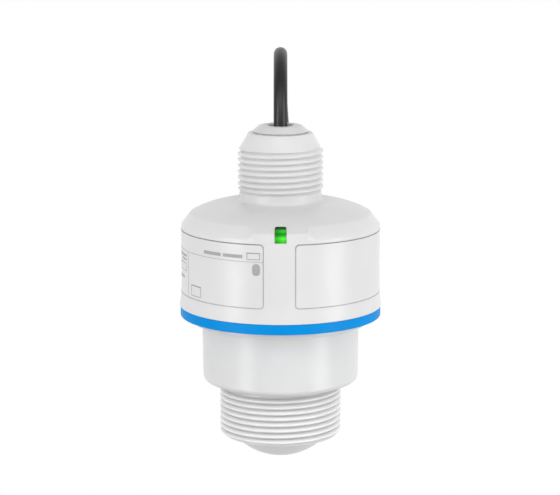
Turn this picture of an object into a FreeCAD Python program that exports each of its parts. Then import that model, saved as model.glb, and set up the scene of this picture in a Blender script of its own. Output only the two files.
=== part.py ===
import FreeCAD, Part
import math
import os

V = FreeCAD.Vector

# A compact radar level sensor, hung by its process thread. Millimetres, +Z up.
# The origin is the middle of the collar's flat sealing face, which the process
# thread pulls down on its fitting. The status light faces -Y.

# Pipe threads: G 1 1/2 below the collar and G 1 on the neck
thread_pitch = 2.309
thread_depth = 1.36
thread_root_flat = 0.30
thread_half_angle = 27.5
thread_cutter_beyond = 0.6
process_thread_r = 23.90
neck_thread_r = 16.62
process_groove_front_z = -5.02

# Process stub with the lens on its end
stub_length = 21.7
stub_end_chamfer = 1.5
relief_height = 2.0
relief_depth = 1.6
relief_cone = 1.0
stub_wall = 4.0
lens_radius = 24.4
lens_rim_step = 5.0
lens_rim_thickness = 8.2

# Collar and flange of the sensor body
collar_inset = 4.0
collar_draft = 0.3
collar_height = 23.5
collar_wall = 3.3
collar_floor = 4.0
seat_round = 2.2
flange_step = 0.7
flange_height = 2.4
spigot_wall = 3.4
spigot_height = 17.0
bead_height = 0.35
bead_below_top = 2.6
fit_gap = 0.2
deck_step = 1.1

# Sealing ring between the spigot and the housing
oring_section = 1.9
oring_above_ring = 6.5
oring_squeeze_gap = 0.03
oring_groove_play = 0.25

# Coloured ring between the flange and the housing
accent_proud = 0.35
accent_height = 4.2
accent_lower_round = 1.9
accent_upper_round = 0.3

# Upper housing: skirt, shoulder and the chamfer over the labels
housing_r = 38.7
housing_height = 33.8
skirt_wall = 4.5
skirt_step = 0.8
skirt_flare = 7.6
flare_middle = (0.35, 0.45)
housing_wall = 3.5
wall_step_above_spigot = 3.3
wall_step_height = 1.5
shoulder_rise = 8.2
shoulder_bulge = 1.45
chamfer_width = 3.5
chamfer_drop = 2.0
roof_thickness = 3.3
roof_corner_drop = 4.4
roof_middle_rise = 1.3
roof_middle_inset = 8.2
roof_flat_beyond_neck = 1.5

# Neck of the upper housing
neck_foot_round = 2.4
neck_foot_step = 0.2
neck_thread_relief = 0.72
neck_thread_start = 3.0
neck_plain_rise = 0.3
neck_cone = 0.7
neck_thread_length = 16.7
neck_shoulder_step = 2.87
neck_shoulder_height = 3.55
neck_top_step = 1.25
neck_top_height = 2.35

# Raised pad that carries the status light
pad_half_width = 10.9
pad_flare = 1.7
pad_depth = 14.7

# Status light guide
guide_half_width = 2.35
guide_depth = 3.6
guide_below_edge = 3.4
guide_proud = 0.15
guide_stem_inset = 0.25
guide_stem_height = 2.0
guide_gap = 0.07
guide_to_led = 0.4

# Cable gland in the neck
gland_step_rise = 14.9
gland_wall = 2.0
seal_shoulder = 2.3
seal_height = 7.0
seal_chamfer = 1.2
washer_height = 1.0
gland_gap = 0.1
gland_head_height = 3.5
gland_head_overhang = 0.4
gland_head_taper = 2.7
gland_head_foot = 0.5
gland_edge = 0.3
gland_throat_height = 5.0

# Cable, and its clearances in the gland
cable_r = 2.7
cable_hole_play = 0.6
gland_mouth_play = 2.2
gland_throat_play = 0.5
sheath_below_roof = 4.3
retainer_wall = 1.7
retainer_height = 3.2
core_r = 0.65
core_spread = 1.45

# Bosses and screws that hold the electronics carrier
boss_r = 3.0
boss_into_wall = 0.2
boss_angles = [90, 210, 330]
pilot_r = 1.3
pilot_depth = 12.0
screw_r = 1.25
screw_length = 10.0
screw_hole_play = 0.15
screw_head_r = 2.3
screw_head_height = 1.8
screw_slot = 0.6
screw_slot_depth = 0.8

# Electronics carrier
carrier_gap = 0.3
carrier_thickness = 3.0
carrier_ring_beyond_bosses = 1.1
ear_wall = 0.4
spoke_width = 4.0
spoke_angles = [30, 150, 270]
leg_r = 1.8
leg_from_board_edge = 3.4
rail_height = 27.0
rail_width = 4.1
rail_from_spigot = 1.7
rail_half_depth = 3.4
slot_depth = 2.2
slot_floor = 1.0

# Main circuit board, upright in the carrier's rails
board_thickness = 1.6
board_side_play = 0.2
board_front_y = -5.0
board_above_led = 0.4
board_slot_gap = 0.1

# Parts on the main board, with heights over its lower edge
terminal_pitch = 3.8
terminal_edge = 1.6
terminal_depth = 8.0
terminal_height = 10.0
terminal_top_below_board = 13.4
terminal_screw_r = 1.2
terminal_screw_height = 0.6
terminal_screw_sink = 1.2
terminal_screw_play = 0.2
terminal_slot = 0.5
terminal_slot_depth = 0.3
capacitor_r = 4.0
capacitor_length = 11.0
capacitor_gap = 0.8
capacitor_from_rail = 8.3
power_parts_height = 16.0
inductor_half_width = 5.0
inductor_height = 4.8
inductor_chamfer = 1.6
inductor_share = 0.6
processor_half_width = 5.0
processor_thickness = 1.4
processor_height = 12.5
radio_half_width = 5.5
radio_length = 12.0
radio_thickness = 2.1
radio_from_rail = 9.8
radio_height = 21.0
chip_antenna_gap = 1.5
chip_antenna_length = 6.5
chip_antenna_width = 2.0
chip_antenna_thickness = 1.2
led_half_width = 1.5
led_thickness = 1.3

# Antenna and radar board
horn_wall = 1.4
horn_throat_r = 2.2
horn_neck_wall = 1.2
horn_rim_gap = 0.2
horn_rim_height = 3.0
horn_flange_r = 12.0
horn_flange_height = 2.4
horn_recess_r = 4.2
horn_recess_depth = 1.3
radar_board_gap = 1.2
radar_board_drop = 7.5
radar_board_thickness = 1.6
radar_chip_half_width = 2.6
radar_chip_thickness = 0.9
shield_from_legs = 8.0
shield_height = 3.0
shield_corner_r = 1.0
shield_sheet = 0.35
socket_half_width = 6.0
socket_depth = 3.0
socket_height = 2.6
socket_from_legs = 4.5
socket_above_board_edge = 1.0
ribbon_half_width = 5.0
ribbon_thickness = 0.3
ribbon_straight = 2.4

# Route of the free cable, chosen by hand: up out of the gland, over and down behind
lead_route = [
    (0.0, 0.0, 87.0), (0.0, 0.0, 103.2), (0.0, 8.1, 117.23), (0.0, 22.13, 125.33),
    (0.0, 38.33, 125.33), (0.0, 52.36, 117.23), (0.0, 60.46, 103.2),
    (1.5, 62.6, 84.6), (7.2, 63.3, 66.8), (13.0, 63.35, 51.0), (13.5, 63.3, 39.0),
]
tail_route = [
    (-13.5, 66.8, 51.9), (-13.5, 60.9, 42.2), (-13.5, 57.6, 31.2), (-13.5, 57.2, 19.5), (-13.5, 57.2, 8.0),
]

# Share of a straight run that the bend at its end takes
bend_share = 0.45

# Coil of the rest of the cable: rows of turns side by side, layers of turns outwards
coil_columns = 6
coil_layers = 4
coil_mid_r = 31.85
coil_near_y = 60.55
coil_z = 34.0
tie_angles = [30, 140, 270]
tie_width = 5.0
tie_thickness = 1.2
tail_core_runs = [4.0, 5.0, 6.0]
tail_core_fan = 1.2
ferrule_wall = 0.3
ferrule_length = 3.5

# Radii from the outside in
skirt_r = housing_r + skirt_step
accent_r = skirt_r + accent_proud
housing_bore_r = housing_r - skirt_wall
spigot_r = housing_bore_r - fit_gap
flange_r = spigot_r + flange_step
collar_r = flange_r - collar_inset
wall_bore_r = housing_r - housing_wall
spigot_bore_r = spigot_r - spigot_wall
collar_bore_r = collar_r - collar_wall
relief_r = process_thread_r - relief_depth
antenna_bore_r = process_thread_r - stub_wall
lens_rim_r = process_thread_r - lens_rim_step
boss_circle_r = collar_bore_r - boss_r + boss_into_wall
radar_board_r = boss_circle_r - boss_r - radar_board_gap
leg_circle_r = radar_board_r - leg_from_board_edge
shield_half_width = leg_circle_r - shield_from_legs
rail_outer_x = spigot_bore_r - rail_from_spigot
rail_inner_x = rail_outer_x - rail_width
board_half_width = rail_inner_x + slot_depth - board_side_play
neck_plain_r = neck_thread_r - neck_thread_relief
neck_shoulder_r = neck_thread_r - neck_shoulder_step
neck_top_r = neck_shoulder_r - neck_top_step
dome_top_r = neck_plain_r + neck_foot_round + neck_foot_step
chamfer_inner_r = housing_r - chamfer_width
roof_middle_r = housing_r - roof_middle_inset
roof_flat_r = dome_top_r + roof_flat_beyond_neck
gland_bore_r = neck_top_r - gland_wall
seal_chamber_r = gland_bore_r - seal_shoulder
cable_hole_r = cable_r + cable_hole_play

# Heights from the seat up
stub_end_z = -stub_length
lens_back_z = stub_end_z + lens_rim_thickness
accent_z = collar_height + flange_height
deck_z = accent_z + deck_step
housing_z = accent_z + accent_height
spigot_top_z = accent_z + spigot_height
bead_z = spigot_top_z - bead_below_top
oring_z = housing_z + oring_above_ring
wall_bore_z = spigot_top_z + wall_step_above_spigot
dome_edge_z = housing_z + housing_height
dome_top_z = dome_edge_z + shoulder_rise
chamfer_lower_z = dome_edge_z - chamfer_drop
roof_corner_z = dome_edge_z - roof_corner_drop
roof_middle_z = dome_edge_z + roof_middle_rise
roof_z = dome_top_z - roof_thickness
neck_groove_front_z = dome_top_z + neck_thread_start
neck_thread_top_z = neck_groove_front_z + neck_thread_length
neck_shoulder_z = neck_thread_top_z + neck_shoulder_height
neck_top_z = neck_shoulder_z + neck_top_height
gland_step_z = dome_top_z + gland_step_rise
seal_top_z = gland_step_z - washer_height
chamber_floor_z = seal_top_z - seal_height
inner_end_z = roof_z - sheath_below_roof
radar_board_z = deck_z - radar_board_drop
radar_board_top_z = radar_board_z + radar_board_thickness
carrier_top_z = deck_z + carrier_thickness
board_z = carrier_top_z + slot_floor
guide_floor_z = dome_edge_z - guide_below_edge
led_z = guide_floor_z + guide_stem_height / 2
board_top_z = led_z + led_half_width + board_above_led
terminal_top_z = board_top_z - terminal_top_below_board
power_parts_z = board_z + power_parts_height
processor_z = board_z + processor_height
radio_z = board_z + radio_height

# Places of the parts on the boards
terminal_half_width = (3 * terminal_pitch + terminal_edge) / 2
capacitor_x = rail_inner_x - capacitor_from_rail
inductor_room = rail_inner_x - terminal_half_width - 2 * inductor_half_width
inductor_x = -terminal_half_width - inductor_share * inductor_room - inductor_half_width
radio_x = radio_from_rail - rail_inner_x
socket_y = socket_from_legs - leg_circle_r

# Depths, and the place of the coil
board_back_y = board_front_y + board_thickness
guide_back_y = guide_depth - housing_r
pad_back_y = pad_depth - housing_r
coil_half_width = coil_columns * cable_r
coil_half_depth = coil_layers * cable_r
coil_y = coil_near_y + coil_half_depth + coil_mid_r


def outline(points):
    """A closed face in the XZ plane. A step is a point, or the middle and end of an arc."""
    edges = []
    here = points[0]
    for step in points[1:] + [points[0]]:
        if isinstance(step[0], tuple):
            middle, end = step
            a, m, b = [V(p[0], 0, p[1]) for p in (here, middle, end)]
            edges.append(Part.Arc(a, m, b).toShape())
            here = end
        elif math.dist(here, step) > 1e-6:
            edges.append(Part.makeLine(V(here[0], 0, here[1]), V(step[0], 0, step[1])))
            here = step
    return Part.Face(Part.Wire(edges))


def turned(points, start=0, angle=360):
    """A body turned about Z from an outline of (radius, height) points."""
    face = outline(points)
    face.rotate(V(0, 0, 0), V(0, 0, 1), start)
    return face.revolve(V(0, 0, 0), V(0, 0, 1), angle)


def round_corner(center, radius, start, end):
    """The arc step of an outline about a centre, from one angle to another in degrees."""
    def at(angle):
        a = math.radians(angle)
        return (center[0] + radius * math.cos(a), center[1] + radius * math.sin(a))
    return (at((start + end) / 2), at(end))


def disc(radius, z0, z1, x=0, y=0):
    return Part.makeCylinder(radius, z1 - z0, V(x, y, z0))


def tube_ring(outer, inner, z0, z1):
    return disc(outer, z0, z1).cut(disc(inner, z0 - 1, z1 + 1))


def block(x0, x1, y0, y1, z0, z1):
    return Part.makeBox(x1 - x0, y1 - y0, z1 - z0, V(x0, y0, z0))


def joined(shapes):
    whole = shapes[0].fuse(shapes[1:]) if len(shapes) > 1 else shapes[0]
    return whole.removeSplitter()


def spun(shape, angle):
    turned_copy = shape.copy()
    turned_copy.rotate(V(0, 0, 0), V(0, 0, 1), angle)
    return turned_copy


def save(name, shape):
    solids = shape.Solids
    whole = solids[0] if len(solids) == 1 else Part.makeCompound(solids)
    whole.exportStep("parts/" + name + ".step")
    print(name, len(solids), "solid", "valid" if whole.isValid() else "NOT VALID", round(whole.Volume, 1))


def thread_groove(major_r, front_z, z0, z1):
    """The helical groove of a right-hand thread, whose groove is at front_z on the -Y side."""
    root_r = major_r - thread_depth
    outer_r = major_r + thread_cutter_beyond
    flank = math.tan(math.radians(thread_half_angle))
    half_root = thread_root_flat / 2
    half_top = half_root + (outer_r - root_r) * flank
    side_z = front_z + thread_pitch / 4
    first = side_z + math.floor((z0 - side_z) / thread_pitch) * thread_pitch
    helix = Part.makeHelix(thread_pitch, z1 - first, root_r)
    helix.translate(V(0, 0, first))
    corners = [
        V(root_r, 0, first - half_root), V(outer_r, 0, first - half_top),
        V(outer_r, 0, first + half_top), V(root_r, 0, first + half_root),
    ]
    section = Part.makePolygon(corners + [corners[0]])
    return Part.Wire(helix.Edges).makePipeShell([section], True, True)


def threaded_sleeve(major_r, front_z, envelope):
    """A turned sleeve with the thread on its outside: a long rod is threaded, then trimmed to it."""
    heights = [z for r, z in envelope]
    z0 = min(heights) - thread_pitch
    z1 = max(heights) + thread_pitch
    rod = disc(major_r, z0 - 2 * thread_pitch, z1 + 2 * thread_pitch)
    return rod.cut(thread_groove(major_r, front_z, z0, z1)).common(turned(envelope))


def rounded_path(points):
    """Straight runs joined by tangent arcs, each as large as its two runs allow."""
    p = [V(*q) for q in points]
    edges = []
    radii = []
    here = p[0]
    for before, corner, after in zip(p, p[1:], p[2:]):
        u = (corner - before).normalize()
        w = (after - corner).normalize()
        turn = u.getAngle(w)
        run = min(corner.distanceToPoint(before), corner.distanceToPoint(after))
        back = bend_share * run
        radii.append(back / math.tan(turn / 2))
        start = corner - u * back
        end = corner + w * back
        toward = (w - u).normalize()
        middle = corner + toward * (radii[-1] / math.cos(turn / 2) - radii[-1])
        edges.append(Part.LineSegment(here, start).toShape())
        edges.append(Part.Arc(start, middle, end).toShape())
        here = end
    edges.append(Part.LineSegment(here, p[-1]).toShape())
    return Part.Wire(edges), radii


def tube(points, radius):
    """A round tube along a route, and the radii of its bends."""
    path, radii = rounded_path(points)
    way = (V(*points[1]) - V(*points[0])).normalize()
    section = Part.Wire(Part.makeCircle(radius, V(*points[0]), way))
    solid = path.makePipeShell([section], True, False)
    wanted = math.pi * radius ** 2 * path.Length
    print("tube length", round(path.Length, 1), "radii", [round(r, 1) for r in radii],
          "volume by length", round(solid.Volume / wanted, 4))
    return solid


def sensor_body():
    """Process stub with thread and lens, collar, flange and spigot, moulded as one piece."""
    lens_center_z = stub_end_z + math.sqrt(lens_radius ** 2 - lens_rim_r ** 2)
    lens_tip_z = lens_center_z - lens_radius
    half = lens_rim_r / 2
    lens_half_z = lens_center_z - math.sqrt(lens_radius ** 2 - half ** 2)
    seat_r = collar_r - collar_draft - seat_round
    groove_r = housing_bore_r - oring_section - 2 * oring_squeeze_gap
    groove_half = oring_section / 2 + oring_groove_play
    chamfer_r = process_thread_r - stub_end_chamfer
    body = turned([
        (0, lens_tip_z), ((half, lens_half_z), (lens_rim_r, stub_end_z)),
        (chamfer_r, stub_end_z), (process_thread_r, stub_end_z + stub_end_chamfer),
        (process_thread_r, -relief_height - relief_cone), (relief_r, -relief_height), (relief_r, 0),
        (seat_r, 0), round_corner((seat_r, seat_round), seat_round, -90, 0),
        (collar_r, collar_height), (flange_r, collar_height), (flange_r, accent_z),
        (spigot_r, accent_z), (spigot_r, oring_z - groove_half),
        (groove_r, oring_z - groove_half), (groove_r, oring_z + groove_half),
        (spigot_r, oring_z + groove_half), (spigot_r, bead_z - bead_height),
        (spigot_r + bead_height, bead_z), (spigot_r, bead_z + bead_height),
        (spigot_r, spigot_top_z), (spigot_bore_r, spigot_top_z), (spigot_bore_r, deck_z),
        (collar_bore_r, deck_z), (collar_bore_r, collar_floor), (antenna_bore_r, collar_floor),
        (antenna_bore_r, lens_back_z), (0, lens_back_z),
    ])
    posts = []
    for angle in boss_angles:
        post = disc(boss_r, collar_floor, deck_z, boss_circle_r)
        web = block(boss_circle_r, collar_bore_r + boss_into_wall, -boss_r, boss_r, collar_floor, deck_z)
        posts.append(spun(post.fuse(web), angle))
    body = joined([body] + posts)
    for angle in boss_angles:
        pilot = disc(pilot_r, deck_z - pilot_depth, deck_z + 1, boss_circle_r)
        body = body.cut(spun(pilot, angle))
    core_r = (antenna_bore_r + relief_r) / 2
    sleeve = threaded_sleeve(process_thread_r, process_groove_front_z, [
        (core_r, stub_end_z), (chamfer_r, stub_end_z), (process_thread_r, stub_end_z + stub_end_chamfer),
        (process_thread_r, -relief_height - relief_cone), (relief_r, -relief_height),
        (core_r, -relief_height),
    ])
    room = tube_ring(process_thread_r, core_r, stub_end_z, -relief_height)
    return joined([body.cut(room), sleeve])


def housing_oring():
    middle_r = housing_bore_r - oring_section / 2 - oring_squeeze_gap
    return Part.makeTorus(middle_r, oring_section / 2, V(0, 0, oring_z))


def accent_ring():
    lower = (accent_r - accent_lower_round, accent_z + accent_lower_round)
    upper = (accent_r - accent_upper_round, housing_z - accent_upper_round)
    return turned([
        (housing_bore_r, accent_z), (lower[0], accent_z),
        round_corner(lower, accent_lower_round, -90, 0), (accent_r, upper[1]),
        round_corner(upper, accent_upper_round, 0, 90), (housing_bore_r, housing_z),
    ])


def dome_arc(grow=0):
    """Middle and end of the shoulder's arc, and its radius and centre."""
    a = (dome_top_r, dome_top_z + grow)
    b = (housing_r + grow, dome_edge_z + grow)
    chord = math.dist(a, b)
    normal = ((a[1] - b[1]) / chord, (b[0] - a[0]) / chord)
    middle = ((a[0] + b[0]) / 2 + shoulder_bulge * normal[0], (a[1] + b[1]) / 2 + shoulder_bulge * normal[1])
    radius = (chord ** 2 / 4 + shoulder_bulge ** 2) / (2 * shoulder_bulge)
    center = (middle[0] - radius * normal[0], middle[1] - radius * normal[1])
    return a, middle, b, radius, center


def dome_height(r):
    a, middle, b, radius, center = dome_arc()
    return center[1] + math.sqrt(radius ** 2 - (r - center[0]) ** 2)


def wall_outline():
    """The outside of the skirt up to the lower edge of the shoulder's chamfer."""
    flare_z = housing_z + skirt_flare
    middle = (housing_r + skirt_step * flare_middle[0], housing_z + skirt_flare * flare_middle[1])
    return [(skirt_r, housing_z), (middle, (housing_r, flare_z))]


def dome_solid(grow=0):
    """The full shoulder with its sharp edge, as the pad and the light guide have it."""
    a, middle, b, radius, center = dome_arc(grow)
    foot_z = housing_z + skirt_flare
    return turned([(0, foot_z), (b[0], foot_z), b, (middle, a), (0, a[1])])


def shoulder_crease():
    """Where the chamfer over the labels leaves the dome, and an arc point on the way there."""
    half_r = (dome_top_r + chamfer_inner_r) / 2
    return (half_r, dome_height(half_r)), (chamfer_inner_r, dome_height(chamfer_inner_r))


def neck_sleeve(core_r):
    """The neck between its foot and its shoulder: a plain run, then the thread."""
    foot_z = dome_top_z + neck_foot_round
    plain_z = neck_groove_front_z + neck_plain_rise
    wide_r = neck_thread_r + thread_cutter_beyond
    rise = neck_cone * (wide_r - neck_plain_r) / neck_thread_relief
    threaded = threaded_sleeve(neck_thread_r, neck_groove_front_z, [
        (core_r, foot_z), (wide_r, foot_z), (wide_r, neck_thread_top_z - rise),
        (neck_plain_r, neck_thread_top_z), (neck_shoulder_r, neck_shoulder_z), (core_r, neck_shoulder_z),
    ])
    around_foot = turned([
        (neck_plain_r, foot_z - thread_pitch), (wide_r, foot_z - thread_pitch),
        (wide_r, plain_z + rise), (neck_plain_r, plain_z),
    ])
    return threaded.cut(around_foot)


def upper_housing():
    """Skirt, shoulder, light pad and threaded neck, moulded as one shell."""
    arc_point, crease = shoulder_crease()
    outside = wall_outline() + [(housing_r, chamfer_lower_z), crease, (arc_point, (dome_top_r, dome_top_z))]
    inside = [
        (gland_bore_r, neck_top_z), (gland_bore_r, gland_step_z), (seal_chamber_r, gland_step_z),
        (seal_chamber_r, chamber_floor_z), (cable_hole_r, chamber_floor_z), (cable_hole_r, roof_z),
        (roof_flat_r, roof_z), (roof_middle_r, roof_middle_z), (wall_bore_r, roof_corner_z),
        (wall_bore_r, wall_bore_z), (housing_bore_r, wall_bore_z - wall_step_height),
        (housing_bore_r, bead_z + bead_height + fit_gap), (housing_bore_r + bead_height, bead_z),
        (housing_bore_r, bead_z - bead_height - fit_gap), (housing_bore_r, housing_z),
    ]
    foot = (neck_plain_r + neck_foot_round, dome_top_z + neck_foot_round)
    core_r = (gland_bore_r + neck_top_r) / 2
    neck = [
        (foot[0], dome_top_z), round_corner(foot, neck_foot_round, 270, 180), (core_r, foot[1]),
        (core_r, neck_shoulder_z), (neck_shoulder_r, neck_shoulder_z), (neck_top_r, neck_top_z),
    ]
    shell = joined([turned(outside + neck + inside), neck_sleeve(core_r), light_pad()])
    pocket = block(-guide_half_width - guide_gap, guide_half_width + guide_gap,
                   -accent_r, guide_back_y + guide_gap, guide_floor_z - guide_gap, dome_top_z)
    stem_half = guide_half_width - guide_stem_inset + guide_gap
    window = block(-stem_half, stem_half, guide_back_y - guide_stem_inset, -roof_middle_r,
                   guide_floor_z - guide_gap, guide_floor_z + guide_stem_height + guide_gap)
    return shell.cut(pocket).cut(window)


def light_pad():
    """The part of the full shoulder that stays sharp at the front, around the light."""
    pad_foot_half_width = pad_half_width + pad_flare
    sides = [
        V(-pad_foot_half_width, 0, roof_corner_z), V(-pad_foot_half_width, 0, chamfer_lower_z),
        V(-pad_half_width, 0, dome_edge_z), V(-pad_half_width, 0, dome_top_z),
        V(pad_half_width, 0, dome_top_z), V(pad_half_width, 0, dome_edge_z),
        V(pad_foot_half_width, 0, chamfer_lower_z), V(pad_foot_half_width, 0, roof_corner_z),
    ]
    face = Part.Face(Part.makePolygon(sides + [sides[0]]))
    face.translate(V(0, pad_back_y, 0))
    prism = face.extrude(V(0, -housing_r, 0))
    cavity = turned([
        (0, 0), (wall_bore_r, 0), (wall_bore_r, roof_corner_z), (roof_middle_r, roof_middle_z),
        (roof_flat_r, roof_z), (0, roof_z),
    ])
    return dome_solid().common(prism).cut(cavity)


def light_guide():
    """Green clear guide from the status light to its window over the shoulder's edge."""
    head = block(-guide_half_width, guide_half_width, -accent_r, guide_back_y,
                 guide_floor_z, dome_top_z).common(dome_solid(guide_proud))
    front = board_front_y - led_thickness - guide_to_led
    half = guide_half_width - guide_stem_inset
    stem = block(-half, half, guide_back_y - guide_stem_inset, front,
                 guide_floor_z, guide_floor_z + guide_stem_height)
    return joined([head, stem])


def gland_insert():
    """Pressure screw of the gland: chamfered head, flared mouth round the cable."""
    top_z = neck_top_z + gland_head_height
    foot_z = neck_top_z + gland_head_foot
    flare_z = gland_step_z + gland_throat_height
    body_r = gland_bore_r - gland_gap
    head_r = gland_bore_r + gland_head_overhang
    head_top_r = head_r - gland_head_taper
    throat_r = cable_r + gland_throat_play
    mouth_r = cable_r + gland_mouth_play
    edge = gland_edge
    return turned([
        (throat_r, gland_step_z), (body_r, gland_step_z), (body_r, neck_top_z),
        (gland_bore_r, neck_top_z), (head_r, foot_z), (head_r, foot_z + edge),
        (head_top_r + edge, top_z - edge), (head_top_r, top_z), (mouth_r + edge, top_z),
        (mouth_r, top_z - edge), (throat_r, flare_z),
    ])


def thrust_washer():
    return tube_ring(seal_chamber_r - gland_gap, cable_r + gland_gap, seal_top_z, gland_step_z)


def cable_seal():
    """Rubber sleeve that the pressure screw squeezes round the cable."""
    outer = seal_chamber_r - gland_gap
    slope = seal_chamfer
    return turned([
        (cable_r, chamber_floor_z), (outer - slope, chamber_floor_z), (outer, chamber_floor_z + slope),
        (outer, seal_top_z - slope), (outer - slope, seal_top_z), (cable_r, seal_top_z),
    ])


def cable_inner_end():
    """The cable's sheath inside the gland, down to where it is stripped."""
    return disc(cable_r, inner_end_z, gland_step_z)


def cable_retainer():
    """Crimped collar under the roof, which stops the cable being pulled out."""
    return tube_ring(cable_r + retainer_wall, cable_r, roof_z - retainer_height, roof_z)


def core_place(index):
    """Where core 0, 1 or 2 leaves the sheath: three in a triangle about its axis."""
    a = math.radians(90 + 120 * index)
    return core_spread * math.cos(a), core_spread * math.sin(a)


def inner_core(index):
    """One insulated core from the stripped cable to its terminal."""
    x0, y0 = core_place(index)
    x1 = {0: 0, 1: -terminal_pitch, 2: terminal_pitch}[index]
    y1 = board_back_y + terminal_depth / 2
    third = (inner_end_z - terminal_top_z) / 3
    route = [(x0, y0, inner_end_z), (x0, y0, inner_end_z - third), (x1, y1, terminal_top_z + third),
             (x1, y1, terminal_top_z)]
    return tube(route, core_r)


def electronics_carrier():
    """Moulded ring with spokes on the radar board and two slotted rails for the main board."""
    outer = spigot_bore_r - carrier_gap
    inner = boss_circle_r + carrier_ring_beyond_bosses
    parts = [tube_ring(outer, inner, deck_z, carrier_top_z)]
    for angle in spoke_angles:
        bar = block(leg_circle_r - leg_r, inner + ear_wall, -spoke_width / 2, spoke_width / 2,
                    deck_z, carrier_top_z)
        leg = disc(leg_r, radar_board_top_z, carrier_top_z, leg_circle_r)
        parts.append(spun(bar.fuse(leg), angle))
    for angle in boss_angles:
        ear = disc(boss_r + ear_wall, deck_z, carrier_top_z, boss_circle_r)
        parts.append(spun(ear, angle))
    middle_y = board_front_y + board_thickness / 2
    for side in (-1, 1):
        x0, x1 = sorted((side * rail_inner_x, side * rail_outer_x))
        parts.append(block(x0, x1, middle_y - rail_half_depth, middle_y + rail_half_depth,
                           deck_z, carrier_top_z + rail_height))
    carrier = joined(parts)
    slot_half = board_thickness / 2 + board_slot_gap
    reach = rail_inner_x + slot_depth
    slot = block(-reach, reach, middle_y - slot_half, middle_y + slot_half,
                 board_z, carrier_top_z + rail_height + 1)
    carrier = carrier.cut(slot)
    for angle in boss_angles:
        hole = disc(screw_r + screw_hole_play, deck_z - 1, carrier_top_z + 1, boss_circle_r)
        carrier = carrier.cut(spun(hole, angle))
    return carrier


def carrier_screws():
    """Three pan-head screws through the carrier's ears."""
    screws = []
    for angle in boss_angles:
        shank = disc(screw_r, carrier_top_z - screw_length, carrier_top_z, boss_circle_r)
        head = disc(screw_head_r, carrier_top_z, carrier_top_z + screw_head_height, boss_circle_r)
        top_z = carrier_top_z + screw_head_height
        slot = block(boss_circle_r - screw_head_r, boss_circle_r + screw_head_r,
                     -screw_slot / 2, screw_slot / 2, top_z - screw_slot_depth, top_z + 1)
        screws.append(spun(joined([shank, head]).cut(slot), angle))
    return Part.makeCompound(screws)


def main_board():
    return block(-board_half_width, board_half_width, board_front_y, board_back_y, board_z, board_top_z)


def terminal_block():
    """Three-pole terminal on the back of the main board, with wire holes on top."""
    z0 = terminal_top_z - terminal_height
    half = terminal_half_width
    body = block(-half, half, board_back_y, board_back_y + terminal_depth, z0, terminal_top_z)
    y = board_back_y + terminal_depth
    for i in (-1, 0, 1):
        foot = V(i * terminal_pitch, y - terminal_screw_sink, z0 + terminal_height / 2)
        well_r = terminal_screw_r + terminal_screw_play
        well = Part.makeCylinder(well_r, terminal_screw_sink, foot, V(0, 1, 0))
        body = body.cut(well)
    return body


def terminal_screws():
    screws = []
    y = board_back_y + terminal_depth
    z = terminal_top_z - terminal_height / 2
    for i in (-1, 0, 1):
        x = i * terminal_pitch
        foot = y - terminal_screw_sink
        top = foot + terminal_screw_height
        head = Part.makeCylinder(terminal_screw_r, terminal_screw_height, V(x, foot, z), V(0, 1, 0))
        slot = block(x - terminal_screw_r, x + terminal_screw_r, top - terminal_slot_depth, top + 1,
                     z - terminal_slot / 2, z + terminal_slot / 2)
        screws.append(head.cut(slot))
    return Part.makeCompound(screws)


def buffer_capacitors():
    """Two round capacitors lying off the back of the main board."""
    cans = []
    for side in (-1, 1):
        z = power_parts_z + side * (capacitor_r + capacitor_gap / 2)
        can = Part.makeCylinder(capacitor_r, capacitor_length, V(capacitor_x, board_back_y, z), V(0, 1, 0))
        cans.append(can)
    return Part.makeCompound(cans)


def power_inductor():
    w = inductor_half_width
    body = block(inductor_x - w, inductor_x + w, board_back_y, board_back_y + inductor_height,
                 power_parts_z - w, power_parts_z + w)
    upright = [e for e in body.Edges if abs(e.Vertexes[0].Y - e.Vertexes[1].Y) > 1]
    return body.makeChamfer(inductor_chamfer, upright)


def processor_chip():
    w = processor_half_width
    return block(-w, w, board_front_y - processor_thickness, board_front_y, processor_z - w, processor_z + w)


def radio_module():
    w = radio_half_width
    return block(radio_x - w, radio_x + w, board_front_y - radio_thickness, board_front_y,
                 radio_z - radio_length / 2, radio_z + radio_length / 2)


def chip_antenna():
    x = radio_x + radio_half_width + chip_antenna_gap
    return block(x, x + chip_antenna_width, board_front_y - chip_antenna_thickness, board_front_y,
                 radio_z - chip_antenna_length / 2, radio_z + chip_antenna_length / 2)


def status_led():
    w = led_half_width
    return block(-w, w, board_front_y - led_thickness, board_front_y, led_z - w, led_z + w)


def antenna_horn():
    """Metal horn from the radar chip down to the back of the lens."""
    rim_r = antenna_bore_r - horn_rim_gap
    mouth_r = rim_r - horn_wall
    flange_z = radar_board_z - horn_flange_height
    neck_r = horn_throat_r + horn_wall + horn_neck_wall
    return turned([
        (mouth_r, lens_back_z), (rim_r, lens_back_z), (rim_r, lens_back_z + horn_rim_height),
        (neck_r, flange_z), (horn_flange_r, flange_z), (horn_flange_r, radar_board_z),
        (horn_recess_r, radar_board_z), (horn_recess_r, radar_board_z - horn_recess_depth),
        (horn_throat_r, radar_board_z - horn_recess_depth),
    ])


def radar_board():
    return disc(radar_board_r, radar_board_z, radar_board_top_z)


def radar_chip():
    w = radar_chip_half_width
    return block(-w, w, -w, w, radar_board_z - radar_chip_thickness, radar_board_z)


def shield_can():
    """Folded sheet cover over the radio parts on top of the radar board."""
    w = shield_half_width
    z0 = radar_board_top_z
    z1 = z0 + shield_height
    can = block(-w, w, -w, w, z0, z1)
    upright = [e for e in can.Edges if abs(e.Vertexes[0].Z - e.Vertexes[1].Z) > 1]
    can = can.makeFillet(shield_corner_r, upright)
    i = w - shield_sheet
    return can.cut(block(-i, i, -i, i, z0 - 1, z1 - shield_sheet))


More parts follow.
